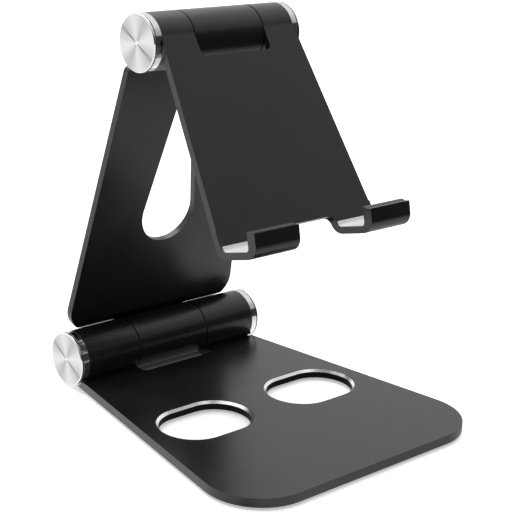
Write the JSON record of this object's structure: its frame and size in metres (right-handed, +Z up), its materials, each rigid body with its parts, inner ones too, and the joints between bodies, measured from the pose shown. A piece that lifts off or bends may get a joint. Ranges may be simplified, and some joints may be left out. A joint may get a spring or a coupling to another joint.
{
  "type": "phone stand",
  "caption": "Folding metal desk stand for a phone: a flared base plate, a tapered arm with a cable opening and a hooked holder, joined by stiff friction hinges.",
  "frame": {"origin": "centre of the stand's footprint, on the table, halfway along the base plate and the lower hinge barrel", "axes": "+Z up from the table, +X along both hinge axes to the user's right, -Y towards the user and the base plate's wide front edge"},
  "size_m": [0.1092, 0.1286, 0.1405],
  "materials": {
    "anodised_black": "fine bead-blasted black anodising, satin, with diamond-cut bright chamfers round the two base slots",
    "cap_bright": "spun face with a star-shaped glint, polished rim with one fine groove",
    "pad_silicone": "light grey matte silicone",
    "foot_rubber": "matte black rubber",
    "bolt_steel": "zinc-plated steel",
    "washer_steel": "bright steel",
    "spring_steel": "phosphated spring steel",
    "friction_nylon": "black filled nylon",
    "bush_bronze": "sintered bronze"
  },
  "bodies": {
    "base": {"base_plate": "anodised_black", "feet": "foot_rubber", "lower_bolt": "bolt_steel", "lower_nut": "bolt_steel", "lower_washers": "washer_steel", "lower_springs": "spring_steel", "lower_friction_washers": "friction_nylon", "lower_cap_left": "cap_bright", "lower_cap_right": "cap_bright"},
    "arm": {"arm_plate": "anodised_black", "lower_bush": "bush_bronze", "upper_bush": "bush_bronze"},
    "holder": {"holder_plate": "anodised_black", "hook_pad_left": "pad_silicone", "hook_pad_right": "pad_silicone", "upper_bolt": "bolt_steel", "upper_nut": "bolt_steel", "upper_washers": "washer_steel", "upper_springs": "spring_steel", "upper_friction_washers": "friction_nylon", "upper_cap_left": "cap_bright", "upper_cap_right": "cap_bright"}
  },
  "joints": [
    {"name": "arm_hinge", "type": "hinge", "parent": "base", "child": "arm", "pos_m": [0, 0.0543, 0.0108], "axis": [1, 0, 0], "range_deg": [-30, 30]},
    {"name": "holder_hinge", "type": "hinge", "parent": "arm", "child": "holder", "pos_m": [0, 0.02776, 0.13049], "axis": [1, 0, 0], "range_deg": [-55, 48]}
  ]
}
